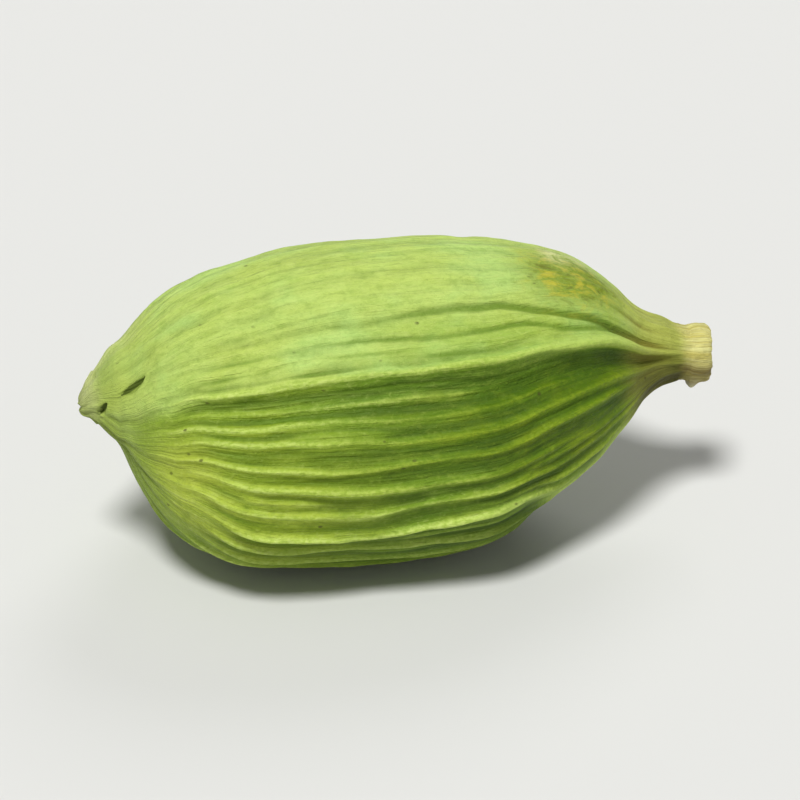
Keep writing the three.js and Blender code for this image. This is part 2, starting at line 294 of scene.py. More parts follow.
# Ribs: thin fibres with hollow valleys between them. Every third one runs on into the neck.
rng = np.random.default_rng(5)
pitch = np.radians(10.0) * RR
ridges = np.zeros((len(X), COLUMNS))
STRONG = {8: 1.0, 1: 0.5, 19: 0.6, 25: 0.45}
for k, (centre, tall) in enumerate(RIBS):
    path = centre + 1.3 * lattice(k * 10.0, XX, 36, 2.8, 11) + 0.35 * lattice(k * 10.0, XX, 36, 1.0, 12)
    swell = np.clip(1 + 0.32 * lattice(k * 10.0, XX, 36, 2.4, 13) + 0.16 * lattice(k * 10.0, XX, 36, 0.7, 14), 0.45, 1.5)
    late = 1.5 * bump(centre, -28.0, 19.0)
    high = (1.0 - 0.28 * bump(centre, -2.0, 26.0)) * tall * swell * smooth(1.1 + 0.5 * (k % 2) + late, 3.0 + 0.8 * (k % 2) + 0.9 * late, XX)
    if k == 7:
        high = high * (1 - 0.95 * smooth(10.8, 12.6, XX))
    if k == 6:
        high = high * (1 - 0.9 * smooth(13.2, 14.8, XX))
    wide = np.minimum(0.118 * rng.uniform(0.85, 1.2), 0.2 * pitch)
    if k % 3 == 2:
        on = smooth(14.6, 17.0, XX)
        high = high * (1 - on) + on * (0.15 + 0.04 * rng.uniform(-1, 1)) * (1 - smooth(18.1, 18.5, XX))
        wide = wide * (1 - on) + on * 0.45 * pitch
    else:
        fade = 15.2 + rng.uniform(-0.9, 1.3)
        high = high * (1 - smooth(fade - 1.6, fade + 0.9, XX))
    if k in STRONG:
        extra = STRONG[k] * (0.115 * smooth(1.6 + late, 3.4 + late, XX) * (1 - smooth(17.2, 18.1, XX)))
        high = high + extra * (0.85 + 0.3 * lattice(k * 10.0, XX, 36, 1.6, 15))
    ridges += (high * fibre_line(path, wide, XX, RR, TT)) ** 3
# Shorter, lower fibres that start and stop between them.
for k in range(len(RIBS)):
    a0, a1 = RIBS[k][0], RIBS[(k + 1) % len(RIBS)][0]
    gap = (a1 - a0 + 720) % 360
    for _ in range(2):
        middle = a0 + gap * rng.uniform(0.36, 0.64)
        lo = rng.uniform(1.6, 11.0)
        hi = lo + rng.uniform(2.5, 7.0)
        tall = rng.uniform(0.22, 0.5) * 0.5 * (RIBS[k][1] + RIBS[(k + 1) % len(RIBS)][1])
        skip = rng.uniform() < (0.62 if -35 < middle < 40 else 0.35) or 24 < middle < 39
        path = middle + 1.3 * lattice(k * 10.0 + 5, XX, 36, 2.8, 11) + rng.uniform(-0.35, 0.35) * (XX - 9)
        if not skip:
            ridges += (tall * smooth(lo, lo + 1.6, XX) * (1 - smooth(hi - 1.6, min(hi, 16.8), XX)) * fibre_line(path, 0.1, XX, RR, TT)) ** 3
# Where the front lobe narrows, more fibres fill the wider gaps beside its lowest rib.
for middle, tall, lo in ((-26.2, 0.17, 12.8), (-15.8, 0.15, 12.4), (-5.6, 0.1, 12.0)):
    path = middle + 1.3 * lattice(middle, XX, 36, 2.8, 11) + 0.5 * lattice(middle, XX, 36, 0.9, 17)
    uneven = 1 + 0.3 * lattice(middle, XX, 36, 1.1, 18)
    ridges += (tall * uneven * smooth(lo, lo + 1.7, XX) * (1 - smooth(16.4, 17.6, XX)) * fibre_line(path, 0.115, XX, RR, TT)) ** 3
ridges = np.cbrt(ridges) * rest_fade


def arc(path):
    """Distance round the pod, in mm, from a line at angle path."""
    return np.abs(np.radians(wrap(TT - path))) * RR


ribs = size ** 0.5 * (ridges - blur(ridges, 16, 3))
d = ribs.copy()

# The long furrow on the pale face, deepest towards the neck, and fine lines beside it and beside the ridge.
crease = np.zeros_like(d)
furrow_path = curve([(3.0, 61.0), (6.0, 60.6), (8.1, 59.0), (9.6, 61.2), (11.2, 62.8), (12.2, 63.0), (12.8, 61.2), (13.7, 57.4), (14.5, 54.2), (15.3, 51.8), (16.0, 49.4), (16.7, 47.6), (17.2, 46.0), (18.2, 43.0)])(XX) + 0.4 * lattice(0.0, XX, 4, 1.1, 71)
furrow_deep = curve([(2.5, 0.0), (4.5, 0.014), (8.0, 0.024), (10.5, 0.05), (12.5, 0.08), (14.0, 0.11), (15.6, 0.14), (16.6, 0.11), (17.4, 0.06), (18.2, 0.0)])(XX)
furrow = np.exp(-0.5 * (arc(furrow_path) / 0.088) ** 2)
d = d - furrow_deep * furrow + 0.2 * furrow_deep * np.exp(-0.5 * ((arc(furrow_path) - 0.27) / 0.1) ** 2)
crease = crease + furrow_deep / 0.1 * furrow
# A second groove under it that joins it on the shoulder.
second_path = curve([(8.5, 50.5), (11.1, 52.0), (12.0, 53.2), (12.9, 53.0), (13.8, 49.4), (14.5, 46.9), (15.7, 46.3), (16.4, 47.2), (18.0, 43.0)])(XX) + 0.3 * lattice(0.0, XX, 4, 1.1, 72)
second_deep = curve([(8.2, 0.0), (10.0, 0.03), (12.0, 0.055), (14.8, 0.07), (16.2, 0.05), (16.9, 0.0)])(XX)
second = np.exp(-0.5 * (arc(second_path) / 0.075) ** 2)
d = d - second_deep * second
crease = crease + second_deep / 0.085 * second
LINES = [
    # angle, depth in mm, from, to
    (42.8, 0.036, 3.4, 9.4), (44.6, 0.034, 8.8, 13.6), (47.2, 0.034, 2.8, 10.4), (52.6, 0.03, 2.8, 10.6), (45.4, 0.026, 2.4, 6.2), (56.0, 0.018, 2.0, 6.4), (65.5, 0.014, 1.8, 8.2),
    (70.5, 0.012, 5.4, 12.0), (77.0, 0.012, 1.6, 6.8), (86.0, 0.010, 9.4, 15.6), (93.0, 0.012, 2.0, 8.0), (101.0, 0.010, 7.0, 13.5),
    (109.0, 0.014, 2.4, 10.5), (66.0, 0.03, 13.4, 17.8), (80.0, 0.035, 14.6, 18.0), (98.0, 0.035, 14.0, 17.9), (34.6, 0.03, 5.0, 16.6), (26.6, 0.02, 4.0, 12.0),
    (118.0, 0.02, 6.0, 15.0), (134.0, 0.02, 3.0, 12.0), (144.0, 0.02, 8.0, 16.0), (61.5, 0.014, 8.4, 13.0),
]
for q, (centre, deep, lo, hi) in enumerate(LINES):
    path = centre + 0.9 * lattice(centre, XX, 36, 2.8, 11) + 0.8 * lattice(0.0, XX, 3, 1.9, 80 + q)
    on = smooth(lo, lo + 1.3, XX) * (1 - smooth(hi - 1.3, hi, XX)) * np.clip(0.8 + 0.55 * lattice(0.0, XX, 3, 1.0, 120 + q), 0.15, 1.3)
    cut = deep * on * np.exp(-0.5 * (arc(path) / 0.06) ** 2)
    d = d - cut
    crease = crease + cut / 0.06
# Faint grooves here and there in the bottoms of the valleys.
for k in range(len(RIBS)):
    a0, a1 = RIBS[k][0], RIBS[(k + 1) % len(RIBS)][0]
    middle = a0 + 0.5 * ((a1 - a0 + 720) % 360)
    path = middle + 1.3 * lattice(k * 10.0 + 5, XX, 36, 2.8, 11) + 0.5 * lattice(0.0, XX, 3, 1.4, 300 + k)
    on = np.clip(0.3 + 1.1 * lattice(0.0, XX, 3, 1.7, 340 + k), 0, 1) * smooth(2.4, 4.0, XX) * (1 - smooth(14.0, 16.4, XX))
    share = np.clip((RIBS[k][1] - 0.09) / 0.1, 0, 1)
    cut = 0.04 * share * on * np.exp(-0.5 * (arc(path) / 0.07) ** 2) * rest_fade
    d = d - cut
    crease = crease + cut / 0.06

# Blossom end: puckered folds that run into the little scar, two short slits and a ragged pale lip.
actual = turn(TT, XX)
pucker_zone = smooth(0.05, 0.4, XX) * (1 - smooth(1.5, 3.2, XX))
folds = np.zeros_like(d)
for q in range(17):
    centre = q * 360 / 17 + rng.uniform(-8, 8)
    folds -= rng.uniform(0.4, 1.3) * bump(TT, centre + 5 * lattice(0.0, XX, 3, 0.8, 230 + q), 4.2)
folds += 0.55
d = d + pucker_zone * 0.085 * folds * np.minimum(1, RR / 1.3) * (1 - 0.55 * bump(actual, 80, 40))


def slit(x0, a0, x1, a1, wide, deep):
    """A short cut from (x0, angle a0) to (x1, angle a1) with slightly raised lips, as (displacement, distance from the
    cut's line).
    """
    across = float(np.interp(0.5 * (x0 + x1), X[8:90], R[8:90]))
    px, py = XX - x0, np.radians(wrap(actual - a0)) * across
    qx, qy = x1 - x0, np.radians(a1 - a0) * across
    t = np.clip((px * qx + py * qy) / (qx * qx + qy * qy), 0, 1)
    gap = np.hypot(px - t * qx, py - t * qy)
    wide = wide * (0.5 + 0.5 * (1 - (2 * t - 1) ** 2))
    return -deep * np.exp(-(gap / wide) ** 2) + 0.2 * deep * np.exp(-((gap - 2.0 * wide) / (0.9 * wide)) ** 2), gap


slits = np.zeros_like(d)
slit_lines = []
outer = (stations > CHORD[4])[:, None]
for x0, t0, x1, t1, wide, deep in ((1.1, 63.0, 1.76, 66.2, 0.062, 0.115), (0.47, 33.0, 0.68, 54.0, 0.07, 0.15)):
    a0, a1 = float(turn(t0, x0)), float(turn(t1, x1))
    push, gap = slit(x0, a0, x1, a1, wide, deep)
    d = d + push * outer
    slits = np.maximum(slits, (1 - smooth(3.2 * wide, 4.4 * wide, gap)) * outer)
    ends = []
    for x_end, a_end in ((x0, a0), (x1, a1)):
        far = (XX - x_end) ** 2 + (np.radians(wrap(actual - a_end)) * RR) ** 2 + np.where(outer, 0.0, 9.0)
        ends.append(np.unravel_index(np.argmin(far), far.shape))
    first, last = (base[e] - (MID_X, MID_Y, FLOOR_Z) for e in ends)
    way = (last - first) / np.linalg.norm(last - first)
    side_way = np.cross(N[ends[0]] + N[ends[1]], way)
    slit_lines.append((first, last, way, side_way / np.linalg.norm(side_way), wide))
inner = (stations < CHORD[5])[:, None]
tip_ragged = 0.07 * lattice(TT, XX, 13, 0.5, 41) + 0.045 * lattice(TT, XX, 29, 0.3, 42)
d = d + np.where(inner | (XX < 0.5), tip_ragged * np.minimum(1, RR / 0.5), 0) * (stations < CHORD[8])[:, None]

# Collar: a ragged broken ring with a tuft of loose fibres under it.
ring = smooth(18.42, 18.62, XX) * (stations > CHORD[31])[:, None]
ring = ring * (1 - 0.8 * np.exp(-((stations[:, None] - CHORD[38]) / 0.24) ** 2)) * (1 - 0.6 * smooth(CHORD[38], CHORD[40], stations[:, None]))
d = d + ring * np.minimum(1, RR / 0.7) * (0.05 * lattice(TT, XX, 9, 0.5, 51) + 0.04 * lattice(TT, XX, 23, 0.35, 52) + 0.025 * lattice(TT, XX, 47, 0.2, 53))
d = d - ring * 0.09 - ring * 0.07 * bump(actual, -66, 30) + ring * 0.22 * bump(actual, -66, 12) * np.exp(-((XX - 18.84) / 0.17) ** 2)

# Skin: slow lumps, short wrinkles along the fibres, and fine grain.
body_zone = smooth(0.8, 2.2, XX) * (1 - smooth(17.2, 18.2, XX))
pale_zone = bump(TT, 82, 28)
d = d + body_zone * rest_fade * size * (
    (0.03 * lattice(TT, XX, 20, 2.2, 61) + 0.016 * lattice(TT, XX, 44, 1.2, 62)) * (1 - 0.4 * pale_zone)
    + 0.014 * lattice(TT, XX, 130, 2.2, 63) * (1 - 0.55 * pale_zone) + 0.010 * lattice(TT, XX, 120, 0.5, 64) + 0.006 * lattice(TT, XX, 170, 0.22, 65))

surface = base + N * d[..., None]
# The collar's broken edge is uneven in length.
torn = 0.07 * lattice(TT, 0.0, 9, 1.0, 54) + 0.055 * lattice(TT, 0.0, 23, 1.0, 55) + 0.035 * lattice(TT, 0.0, 47, 1.0, 56) - 0.07
surface[..., 0] += torn * np.exp(-((stations[:, None] - CHORD[38]) / 0.3) ** 2)
surface[..., 0] -= MID_X
surface[..., 1] -= MID_Y
surface[..., 2] -= FLOOR_Z
surface[..., 2] = np.where(surface[..., 2] < 0.0, 0.0, surface[..., 2])

# Masks that colour follows.
height = d - blur(d, 10, 3)
top_face = smooth(38.0 - 9.0 * (1 - smooth(2.5, 5.5, XX)), 41.0 + 3.0 * (1 - smooth(2.5, 5.5, XX)), TT) * (1 - smooth(118, 150, TT)) * smooth(0.4, 1.0, XX)
outside = (stations <= CHORD[38])[:, None]
whole = np.ones_like(d)
collar_edge = XX + 0.14 * lattice(TT, 0.0, 9, 1.0, 57) + 0.11 * lattice(TT, 0.0, 31, 1.0, 58)
rim_line = curve([(0.0, -21.0), (12.4, -21.0), (13.4, -24.5), (14.2, -28.0), (15.0, -28.5), (15.8, -25.0), (16.6, -27.0), (17.6, -30.0), (LENGTH, -30.0)])(XX)
masks = {
    "cavity": np.clip(height / 0.09, -1, 1) * 0.5 + 0.5,
    "rib_line": np.clip(ridges / 0.17, 0, 1),
    "crease": np.clip(crease, 0, 1.5),
    "slit": slits,
    "top_face": np.maximum(top_face, (1 - smooth(1.0, 1.7, XX)) * (1 - bump(actual, -60, 40))),
    # Painted shade: the band just under the ridge.
    "shade_under_ridge": bump(TT, 30 - 6 * smooth(12.5, 16.0, XX), 5.5 + 6 * smooth(12.5, 16.0, XX)) * smooth(4.0, 9.0, XX) * (1 - smooth(17.4, 18.2, XX)),
    "tip": (1 - smooth(0.3, 3.2, XX)) * whole,
    "lip": (1 - smooth(0.25, 0.7, XX)) * (stations > CHORD[2])[:, None] * (0.42 + 0.58 * bump(actual, 110, 56)),
    "neck": smooth(14.8, 18.0, XX) * whole,
    "collar": smooth(18.12, 18.68, collar_edge) * whole,
    "collar_join_brown": np.clip(0.9 * bump(actual, -8, 9) + 0.45 * bump(actual, -42, 22), 0, 1) * smooth(18.0, 18.4, collar_edge) * outside,
    "scar": np.where(outside, 0.0, smooth(CHORD[38] + 0.1, CHORD[38] + 0.5, stations[:, None])) * whole,
    "pit": (1 - smooth(0.25, 0.7, stations[:, None] / CHORD[4])) * whole,
    # Where painted shade darkens the underside.
    "under": bump(TT, 268, 42) * smooth(1, 4, XX),
    "shoulder": np.clip(1.5 * np.exp(-np.abs((XX - 14.9) / 1.35) ** 2.6) * bump(actual, 81, 13), 0, 1),
    "scuff": np.maximum(np.exp(-((XX - 14.5) / 0.45) ** 2) * bump(actual, 99, 6.5), 0.7 * np.exp(-((XX - 15.3) / 0.6) ** 2) * bump(actual, 103, 5)),
    "tuft": ring * bump(actual, -66, 15) * np.exp(-((XX - 18.84) / 0.22) ** 2),
    "edge": np.exp(-np.abs(wrap(actual - 116) / 23) ** 3) * (1 - smooth(0.4, 2.6, XX)) * (stations > CHORD[2])[:, None],
    # Painted shade: the hollow of the front lobe, and the side under its lowest rib.
    "deep": np.clip(np.exp(-((XX - 12.6) / 3.7) ** 2) * bump(TT, 20, 13)
                    + smooth(10.6, 13.8, XX) * (1 - smooth(17.2, 18.2, XX)) * np.exp(-(wrap(TT - 4.0) / 25) ** 4)
                    + 0.6 * smooth(13.5, 16.0, XX) * (1 - smooth(17.4, 18.3, XX)) * bump(TT, 26, 9)
                    + 0.48 * np.exp(-((XX - 9.0) / 3.7) ** 2) * bump(TT, 6, 9), 0, 1),
    "below": (0.48 + 0.52 * smooth(10.2, 13.0, XX)) * smooth(3.0, 6.0, XX) * (1 - smooth(17.6, 18.3, XX)) * smooth(-3.0, -8.0, wrap(TT) - rim_line) * (1 - smooth(-70.0, -110.0, wrap(TT))),
    # Painted highlight along the lowest rib's crest and the ridge's crest.
    "rim": np.maximum(np.exp(-0.5 * (wrap(TT - rim_line) / (1.9 + 1.9 * smooth(12.8, 14.4, XX))) ** 2) * smooth(10.0, 13.0, XX) * (1 - smooth(16.4, 17.4, XX)),
                      0.75 * bump(TT, 40.2, 1.9) * smooth(12.0, 14.5, XX) * (1 - smooth(17.0, 17.9, XX))),
    # Painted shade: the fold under the neck.
    "fold": smooth(16.2, 17.2, XX) * (1 - smooth(18.1, 18.6, collar_edge)) * bump(actual, -28, 26),
    "warm": (1 - smooth(5.5, 10.0, XX)) * bump(TT, -14, 26) * smooth(1.3, 2.6, XX),
    "ochre": np.exp(-((XX - 2.6) / 1.0) ** 2) * bump(TT, 2, 14),
    "strip": smooth(5.5, 11.5, XX) * (1 - smooth(16.5, 17.8, XX)) * smooth(38.5, 41.5, TT) * (1 - smooth(54.0, 64.0, TT)),
}
fibre = np.stack(np.broadcast_arrays(np.cos(np.radians(TT)), np.sin(np.radians(TT)), XX / 4.9), -1)


def build_husk():
    """Rows of vertices stitched with quads; rows near both ends have half as many columns. Both ends close on a middle point."""
    half = (X < 1.55) & (stations < CHORD[12]) | (X > 17.25)
    verts, rows, uvs_v, pick = [], [], [], []
    for i in range(len(X)):
        cols = np.arange(0, COLUMNS, 2 if half[i] else 1)
        rows.append((len(pick), len(cols)))
        pick += [(i, c) for c in cols]
    pick = np.array(pick)
    points = surface[pick[:, 0], pick[:, 1]]
    ends = [surface[0].mean(0), surface[-1].mean(0)]
    points = np.vstack([points, ends]) * MM
    first, last = len(pick), len(pick) + 1
    v_of = (np.arange(len(X)) + 1) / (len(X) + 1)
    faces, loops_uv = [], []
    for i in range(len(rows) - 1):
        (a0, na), (b0, nb) = rows[i], rows[i + 1]
        va, vb = v_of[i], v_of[i + 1]
        if na == nb:
            for j in range(na):
                k = (j + 1) % na
                faces.append((a0 + j, a0 + k, b0 + k, b0 + j))
                loops_uv.append(((j / na, va), ((j + 1) / na, va), ((j + 1) / na, vb), (j / na, vb)))
        elif nb == 2 * na:
            for j in range(na):
                k = (j + 1) % na
                f0, f1, f2 = b0 + 2 * j, b0 + 2 * j + 1, b0 + (2 * j + 2) % nb
                u0, u1, um = j / na, (j + 1) / na, (j + 0.5) / na
                faces += [(a0 + j, f1, f0), (a0 + j, a0 + k, f1), (a0 + k, f2, f1)]
                loops_uv += [((u0, va), (um, vb), (u0, vb)), ((u0, va), (u1, va), (um, vb)), ((u1, va), (u1, vb), (um, vb))]
        else:
            for j in range(nb):
                k = (j + 1) % nb
                f0, f1, f2 = a0 + 2 * j, a0 + 2 * j + 1, a0 + (2 * j + 2) % na
                u0, u1, um = j / nb, (j + 1) / nb, (j + 0.5) / nb
                faces += [(b0 + j, f0, f1), (b0 + j, f1, b0 + k), (b0 + k, f1, f2)]
                loops_uv += [((u0, vb), (u0, va), (um, va)), ((u0, vb), (um, va), (u1, vb)), ((u1, vb), (um, va), (u1, va))]
    a0, na = rows[0]
    for j in range(na):
        faces.append((a0 + j, first, a0 + (j + 1) % na))
        loops_uv.append(((j / na, v_of[0]), ((j + 0.5) / na, 0.0), ((j + 1) / na, v_of[0])))
    b0, nb = rows[-1]
    for j in range(nb):
        faces.append((b0 + (j + 1) % nb, last, b0 + j))
        loops_uv.append((((j + 1) / nb, v_of[-1]), ((j + 0.5) / nb, 1.0), (j / nb, v_of[-1])))

    mesh = bpy.data.meshes.new("husk")
    mesh.from_pydata(points.tolist(), [], faces)
    signed = 0.0
    tri = np.array([f[:3] for f in faces])
    signed = np.einsum("ij,ij->", points[tri[:, 0]], np.cross(points[tri[:, 1]], points[tri[:, 2]]))
    layer = mesh.uv_layers.new(name="OFBake")
    flat = np.array([c for f in loops_uv for c in f], dtype=np.float32)
    layer.data.foreach_set("uv", flat.ravel())
    if signed < 0:
        mesh.flip_normals()
    for name, field in masks.items():
        attribute = mesh.attributes.new(name, "FLOAT", "POINT")
        values = np.concatenate([field[pick[:, 0], pick[:, 1]], [field[0].mean(), field[-1].mean()]]).astype(np.float32)
        attribute.data.foreach_set("value", values)
    attribute = mesh.attributes.new("fibre", "FLOAT_VECTOR", "POINT")
    values = np.vstack([fibre[pick[:, 0], pick[:, 1]], fibre[0].mean(0), fibre[-1].mean(0)]).astype(np.float32)
    attribute.data.foreach_set("vector", values.ravel())
    attribute = mesh.attributes.new("spot", "FLOAT_VECTOR", "POINT")
    attribute.data.foreach_set("vector", (points / MM).astype(np.float32).ravel())
    mesh.polygons.foreach_set("use_smooth", [True] * len(mesh.polygons))
    mesh.update()
    obj = bpy.data.objects.new("cardamom_husk", mesh)
    bpy.context.scene.collection.objects.link(obj)
    print("husk triangles", sum(len(f) - 2 for f in faces))
    return obj


husk = build_husk()


# ---------------------------------------------------------------- its material

class Nodes:
    """Short names for making shader nodes."""

    def __init__(self, material):
        material.use_nodes = True
        self.tree = material.node_tree
        self.tree.nodes.clear()

    def add(self, kind, **values):
        node = self.tree.nodes.new(kind)
        for name, value in values.items():
            setattr(node, name, value)
        return node

    def link(self, source, target):
        if isinstance(source, (int, float)):
            target.default_value = source
        elif isinstance(source, tuple):
            target.default_value = source
        else:
            self.tree.links.new(source, target)

    def mask(self, name):
        return self.add("ShaderNodeAttribute", attribute_name=name).outputs["Fac"]

    def vector(self, name, scale):
        source = self.add("ShaderNodeAttribute", attribute_name=name).outputs["Vector"]
        node = self.add("ShaderNodeVectorMath", operation="MULTIPLY")
        self.link(source, node.inputs[0])
        node.inputs[1].default_value = scale
        return node.outputs["Vector"]

    def noise(self, vector, scale, detail=2.0, rough=0.5, distort=0.0):
        node = self.add("ShaderNodeTexNoise")
        self.link(vector, node.inputs["Vector"])
        node.inputs["Scale"].default_value = scale
        node.inputs["Detail"].default_value = detail
        node.inputs["Roughness"].default_value = rough
        node.inputs["Distortion"].default_value = distort
        return node.outputs["Fac"]

    def math(self, operation, a, b=0.0, clamp=False):
        node = self.add("ShaderNodeMath", operation=operation, use_clamp=clamp)
        self.link(a, node.inputs[0])
        self.link(b, node.inputs[1])
        return node.outputs["Value"]

    def span(self, value, lo, hi, to_lo=0.0, to_hi=1.0, smooth_step=True):
        node = self.add("ShaderNodeMapRange", interpolation_type="SMOOTHSTEP" if smooth_step else "LINEAR")
        self.link(value, node.inputs["Value"])
        for key, number in (("From Min", lo), ("From Max", hi), ("To Min", to_lo), ("To Max", to_hi)):
            node.inputs[key].default_value = number
        return node.outputs["Result"]

    def dot(self, vector, way, start):
        """How far the point lies from start along way."""
        node = self.add("ShaderNodeVectorMath", operation="SUBTRACT")
        self.link(vector, node.inputs[0])
        node.inputs[1].default_value = start
        product = self.add("ShaderNodeVectorMath", operation="DOT_PRODUCT")
        self.link(node.outputs["Vector"], product.inputs[0])
        product.inputs[1].default_value = way
        return product.outputs["Value"]

    def mix(self, factor, a, b, blend="MIX"):
        node = self.add("ShaderNodeMix", data_type="RGBA", blend_type=blend, clamp_factor=True)
        self.link(factor, node.inputs["Factor"])
        self.link(a, node.inputs[6])
        self.link(b, node.inputs[7])
        return node.outputs[2]


def rgb(r, g, b):
    """An 8-bit screen colour as linear light."""
    return tuple(((c / 255) / 12.92 if c / 255 <= 0.04045 else ((c / 255 + 0.055) / 1.055) ** 2.4) for c in (r, g, b)) + (1.0,)


def husk_material():
    material = bpy.data.materials.new("dried_green_husk")
    n = Nodes(material)
    line_m, cavity_m, crease_shade_m, slit_shade_m = n.mask("rib_line"), n.mask("cavity"), n.mask("crease"), n.mask("slit")
    top_m, tip_m, neck_m = n.mask("top_face"), n.mask("tip"), n.mask("neck")
    collar_m, scar_m, pit_m, collar_join_brown_m = n.mask("collar"), n.mask("scar"), n.mask("pit"), n.mask("collar_join_brown")
    underside_shade_m, shade_under_ridge_m, lip_m, shoulder_m = n.mask("under"), n.mask("shade_under_ridge"), n.mask("lip"), n.mask("shoulder")
    front_hollow_shade_m, warm_m, strip_m = n.mask("deep"), n.mask("warm"), n.mask("strip")
    dry_edge_and_highlight_m, scuff_m, tuft_m = n.mask("edge"), n.mask("scuff"), n.mask("tuft")
    below_rim_shade_m, fold_shade_m, rim_highlight_m, ochre_m = n.mask("below"), n.mask("fold"), n.mask("rim"), n.mask("ochre")

    slow = n.noise(n.vector("spot", (0.3, 0.5, 0.5)), 1.0, 3.0, 0.55)
    patch = n.noise(n.vector("spot", (0.8, 1.2, 1.2)), 1.0, 3.0, 0.6, 0.4)
    mottle = n.noise(n.vector("spot", (1.9, 3.0, 3.0)), 1.0, 4.0, 0.62, 0.5)
    blotch = n.noise(n.vector("spot", (1.5, 2.7, 2.7)), 1.0, 5.0, 0.66, 0.5)
    streak = n.noise(n.vector("fibre", (13.0, 13.0, 0.9)), 1.0, 3.0, 0.6, 0.2)
    fine = n.noise(n.vector("fibre", (42.0, 42.0, 2.6)), 1.0, 3.0, 0.62, 0.2)
    grain = n.noise(n.vector("spot", (6.0, 9.0, 9.0)), 1.0, 4.0, 0.62)

    def over(colour, mask, amount, other):
        return n.mix(n.math("MULTIPLY", mask, amount), colour, other)

    def n_top(ribbed, pale):
        """One amount on the ribbed sides, another on the pale top face."""
        return n.span(top_m, 0.0, 1.0, ribbed, pale, False)

    # Pale yellow-green on the broad top face, deeper green on the ribbed sides: partly the husk's own colour, partly
    # painted light falling from above.
    colour = n.mix(top_m, rgb(122, 155, 36), rgb(181, 205, 101))
    colour = over(colour, warm_m, 0.9, rgb(180, 199, 66))
    # Painted shade: the underside is darkened towards olive.
    colour = over(colour, underside_shade_m, 0.5, rgb(98, 122, 32))
    # Painted shade: the hollow of the front lobe is tinted a darker green.
    colour = over(colour, front_hollow_shade_m, 0.6, rgb(84, 116, 12))
    # Painted shade: a dark band just under the ridge.
    colour = over(colour, shade_under_ridge_m, 0.7, rgb(74, 110, 10))
    colour = over(colour, strip_m, 0.6, rgb(146, 178, 64))
    # Slow drift between yellow and blue-green.
    colour = over(colour, n.span(slow, 0.46, 0.68), 0.26, rgb(178, 190, 62))
    colour = over(colour, n.math("MULTIPLY", top_m, n.span(slow, 0.52, 0.36)), 0.42, rgb(176, 216, 124))
    colour = over(colour, n.span(patch, 0.52, 0.7), 0.22, rgb(128, 168, 50))
    colour = over(colour, n.span(mottle, 0.5, 0.68), n_top(0.14, 0.26), rgb(198, 216, 118))
    colour = over(colour, n.span(mottle, 0.48, 0.32), n_top(0.26, 0.2), rgb(100, 134, 26))
    # Valleys are painted dark and strong in colour as shade; fibre tops are paler, partly bleached and partly a painted
    # highlight, dimmer in the painted shade of the hollow and under the lowest rib.
    valley_shade = n.span(cavity_m, 0.55, 0.2)
    colour = over(colour, valley_shade, n_top(0.85, 0.5), n.mix(warm_m, rgb(64, 94, 2), rgb(110, 134, 8)))
    crest_bleach_and_highlight = n.math("MULTIPLY", n.span(line_m, 0.22, 0.9), n.span(cavity_m, 0.45, 0.8))
    crest_bleach_and_highlight = n.math("MULTIPLY", crest_bleach_and_highlight, n.span(n.math("MAXIMUM", front_hollow_shade_m, below_rim_shade_m), 0.0, 1.0, 1.0, 0.34, False))
    colour = over(colour, crest_bleach_and_highlight, 0.72, rgb(188, 213, 92))
    colour = over(colour, n.math("MULTIPLY", crest_bleach_and_highlight, n.span(grain, 0.42, 0.6)), 0.45, rgb(212, 228, 130))
    # Painted shade darkens the furrows and fine grooves.
    colour = over(colour, n.span(crease_shade_m, 0.1, 0.8), 0.6, rgb(104, 138, 26))
    colour = over(colour, n.span(crease_shade_m, 0.7, 1.5), 0.65, rgb(78, 98, 10))
    # Streaks along the fibres, then grain; both fainter down in the valleys.
    open_m = n.span(n.math("MAXIMUM", n.math("MULTIPLY", valley_shade, 0.9), n.math("MAXIMUM", front_hollow_shade_m, below_rim_shade_m)), 0.0, 1.0, 1.0, 0.3, False)
    colour = over(colour, n.span(streak, 0.5, 0.72), n.math("MULTIPLY", open_m, 0.24), rgb(198, 218, 112))
    colour = over(colour, n.span(streak, 0.48, 0.28), n_top(0.28, 0.16), rgb(94, 128, 20))
    colour = over(colour, n.span(fine, 0.54, 0.74), n.math("MULTIPLY", open_m, 0.22), rgb(206, 222, 130))
    colour = over(colour, n.span(fine, 0.46, 0.28), n_top(0.26, 0.15), rgb(88, 118, 18))
    colour = over(colour, n.span(grain, 0.52, 0.68), n.math("MULTIPLY", open_m, 0.2), rgb(204, 220, 122))
    colour = over(colour, n.span(grain, 0.48, 0.32), n_top(0.22, 0.16), rgb(88, 118, 22))
    # Painted shade: the hollow of the front lobe, and what lies under its lowest rib, are multiplied down to a darker,
    # stronger green.
    colour = n.mix(front_hollow_shade_m, colour, n.mix(1.0, colour, (0.74, 0.77, 0.16, 1.0), "MULTIPLY"))
    colour = n.mix(below_rim_shade_m, colour, n.mix(1.0, colour, (0.4, 0.46, 0.2, 1.0), "MULTIPLY"))
    # Painted highlight: a bright line along the lowest rib's crest and the ridge's crest towards the neck.
    colour = over(colour, n.math("MULTIPLY", rim_highlight_m, n.span(streak, 0.3, 0.62, 0.6, 1.0)), 0.8, rgb(182, 207, 102))
    colour = over(colour, n.math("MULTIPLY", ochre_m, n.span(patch, 0.3, 0.6, 0.5, 1.0)), 0.32, rgb(182, 184, 66))
